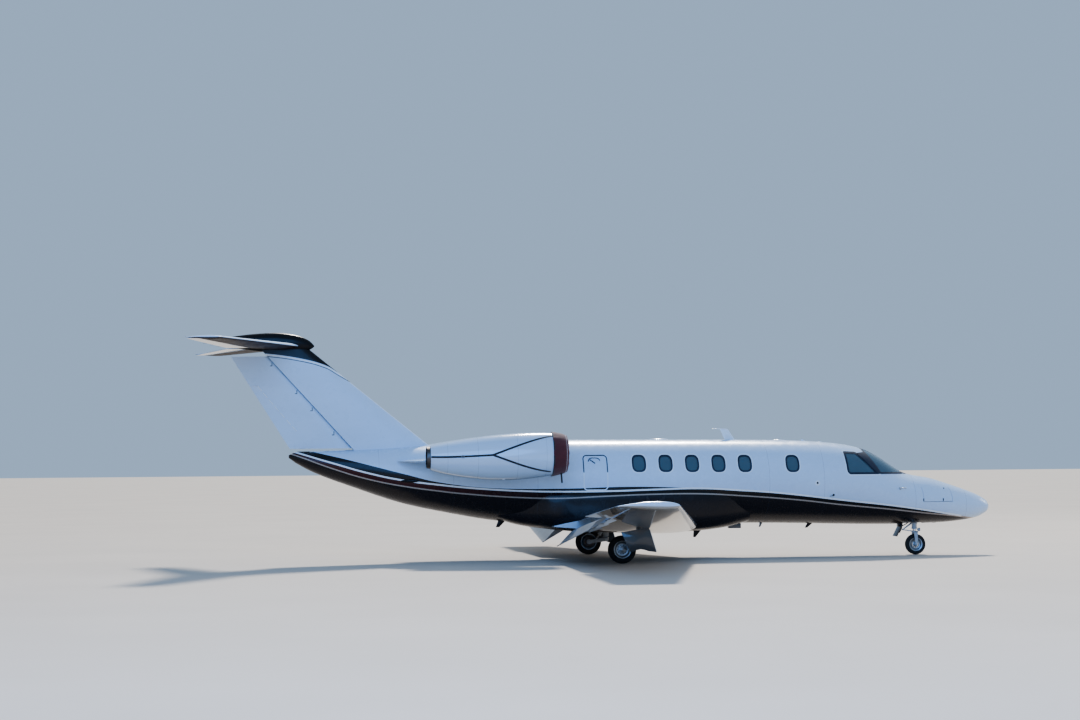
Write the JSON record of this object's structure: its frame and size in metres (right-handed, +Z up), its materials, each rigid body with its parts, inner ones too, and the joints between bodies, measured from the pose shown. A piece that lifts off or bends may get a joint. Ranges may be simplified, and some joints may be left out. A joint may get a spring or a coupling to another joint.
{
  "type": "twin-engined business jet",
  "caption": "Twin-engined business jet parked on its gear, with a T-tail, low wings, flaps down, inlet covers fitted and hinged doors and control surfaces.",
  "frame": {"origin": "on the ground, midway along the overall length and the wingspan", "axes": "+X to the nose, +Y to port, +Z up"},
  "size_m": [16.26, 15.49, 4.552],
  "materials": {
    "paint_white": "gloss",
    "paint_dark": "gloss",
    "composite_white": "gloss",
    "composite_dark": "gloss",
    "glazing": "gloss",
    "wheel_alloy": "satin",
    "gear_grey": "satin",
    "engine_metal": "satin",
    "exhaust_metal": "satin",
    "tyre_rubber": "matte",
    "cover_cloth": "matte",
    "seat_leather": "satin",
    "floor_carpet": "matte",
    "panel_dark": "matte"
  },
  "bodies": {
    "airframe": {"cabin_shell": "paint_white", "emergency_exit": "paint_white", "cockpit_shell": "paint_white", "nose_section": "paint_white", "cabin_windows_port": "glazing", "cabin_windows_starboard": "glazing", "windshield_port": "glazing", "side_window_port": "glazing", "windshield_starboard": "glazing", "side_window_starboard": "glazing", "tail_shell": "paint_white", "belly_fairing": "composite_dark", "wing_port": "paint_white", "wing_starboard": "paint_white", "fin": "paint_white", "stabiliser": "paint_white", "tail_bullet": "composite_dark", "nacelle_port": "composite_white", "nacelle_starboard": "composite_white", "engine_port": "engine_metal", "engine_starboard": "engine_metal", "exhaust_nozzle_port": "exhaust_metal", "exhaust_nozzle_starboard": "exhaust_metal", "inlet_cover_port": "cover_cloth", "inlet_cover_starboard": "cover_cloth", "pylon_port": "paint_white", "pylon_starboard": "paint_white", "main_leg_port": "gear_grey", "main_leg_starboard": "gear_grey", "leg_door_port": "paint_white", "leg_door_starboard": "paint_white", "nose_strut": "gear_grey", "nose_gear_door": "paint_white", "cabin_floor": "floor_carpet", "pilot_seat_port": "seat_leather", "pilot_seat_starboard": "seat_leather", "cabin_seat_1": "seat_leather", "cabin_seat_2": "seat_leather", "cabin_seat_3": "seat_leather", "cabin_seat_4": "seat_leather", "instrument_panel": "panel_dark"},
    "entry_door": {"entry_door": "paint_white"},
    "nose_door_port": {"nose_door_port": "paint_white"},
    "nose_door_starboard": {"nose_door_starboard": "paint_white"},
    "tail_door_port": {"tail_door_port": "paint_white"},
    "rudder": {"rudder": "paint_white"},
    "elevator_port": {"elevator_port": "paint_white"},
    "elevator_starboard": {"elevator_starboard": "paint_white"},
    "aileron_port": {"aileron_port": "paint_white"},
    "aileron_starboard": {"aileron_starboard": "paint_white"},
    "flap_port": {"flap_port": "paint_white"},
    "flap_starboard": {"flap_starboard": "paint_white"},
    "nose_fork": {"nose_fork": "gear_grey"},
    "nose_wheel": {"nose_wheel": "wheel_alloy", "nose_tyre": "tyre_rubber"},
    "main_wheel_port": {"main_port_wheel": "wheel_alloy", "main_port_tyre": "tyre_rubber"},
    "main_wheel_starboard": {"main_starboard_wheel": "wheel_alloy", "main_starboard_tyre": "tyre_rubber"}
  },
  "joints": [
    {"name": "entry_door_hinge", "type": "hinge", "parent": "airframe", "child": "entry_door", "pos_m": [4.17, 0.864, 1.5], "axis": [0, 0, -1], "range_deg": [0, 150]},
    {"name": "nose_door_port_hinge", "type": "hinge", "parent": "airframe", "child": "nose_door_port", "pos_m": [6.56, 0.54179, 1.38], "axis": [0.9434, -0.3318, 0], "range_deg": [0, 65]},
    {"name": "nose_door_starboard_hinge", "type": "hinge", "parent": "airframe", "child": "nose_door_starboard", "pos_m": [6.56, -0.54179, 1.38], "axis": [-0.9434, -0.3318, 0], "range_deg": [0, 65]},
    {"name": "tail_door_hinge", "type": "hinge", "parent": "airframe", "child": "tail_door_port", "pos_m": [-2.56, 0.77783, 1.47], "axis": [0.9971, 0.0765, 0], "range_deg": [0, 80]},
    {"name": "rudder_hinge", "type": "hinge", "parent": "airframe", "child": "rudder", "pos_m": [-5.05959, 0, 2.236], "axis": [-0.663, 0, 0.7486], "range_deg": [-30, 30]},
    {"name": "elevator_port_hinge", "type": "hinge", "parent": "airframe", "child": "elevator_port", "pos_m": [-7.01608, 0.198, 4.285], "axis": [-0.2948, 0.9556, 0], "range_deg": [-9, 26]},
    {"name": "elevator_starboard_hinge", "type": "hinge", "parent": "airframe", "child": "elevator_starboard", "pos_m": [-7.01608, -0.198, 4.285], "axis": [0.2948, 0.9556, 0], "range_deg": [-9, 26]},
    {"name": "aileron_port_hinge", "type": "hinge", "parent": "airframe", "child": "aileron_port", "pos_m": [-0.57363, 4.768, 1.00952], "axis": [-0.0483, 0.9961, 0.0744], "range_deg": [-20, 20]},
    {"name": "aileron_starboard_hinge", "type": "hinge", "parent": "airframe", "child": "aileron_starboard", "pos_m": [-0.57363, -4.768, 1.00952], "axis": [0.0483, 0.9961, -0.0744], "range_deg": [-20, 20]},
    {"name": "flap_port_hinge", "type": "hinge", "parent": "airframe", "child": "flap_port", "pos_m": [-0.42016, 1.018, 0.56284], "axis": [-0.0456, 0.9954, 0.0847], "range_deg": [0, 35]},
    {"name": "flap_starboard_hinge", "type": "hinge", "parent": "airframe", "child": "flap_starboard", "pos_m": [-0.42016, -1.018, 0.56284], "axis": [0.0456, 0.9954, -0.0847], "range_deg": [0, 35]},
    {"name": "nose_steering", "type": "hinge", "parent": "airframe", "child": "nose_fork", "pos_m": [6.548, 0, 0.5], "axis": [0, 0, 1], "range_deg": [-60, 60]},
    {"name": "nose_wheel_spin", "type": "hinge", "parent": "nose_fork", "child": "nose_wheel", "pos_m": [6.562, 0, 0.21], "axis": [0, 1, 0], "continuous": true},
    {"name": "main_wheel_port_spin", "type": "hinge", "parent": "airframe", "child": "main_wheel_port", "pos_m": [0.096, 2.0775, 0.27], "axis": [0, 1, 0], "continuous": true},
    {"name": "main_wheel_starboard_spin", "type": "hinge", "parent": "airframe", "child": "main_wheel_starboard", "pos_m": [0.096, -2.0775, 0.27], "axis": [0, 1, 0], "continuous": true}
  ]
}
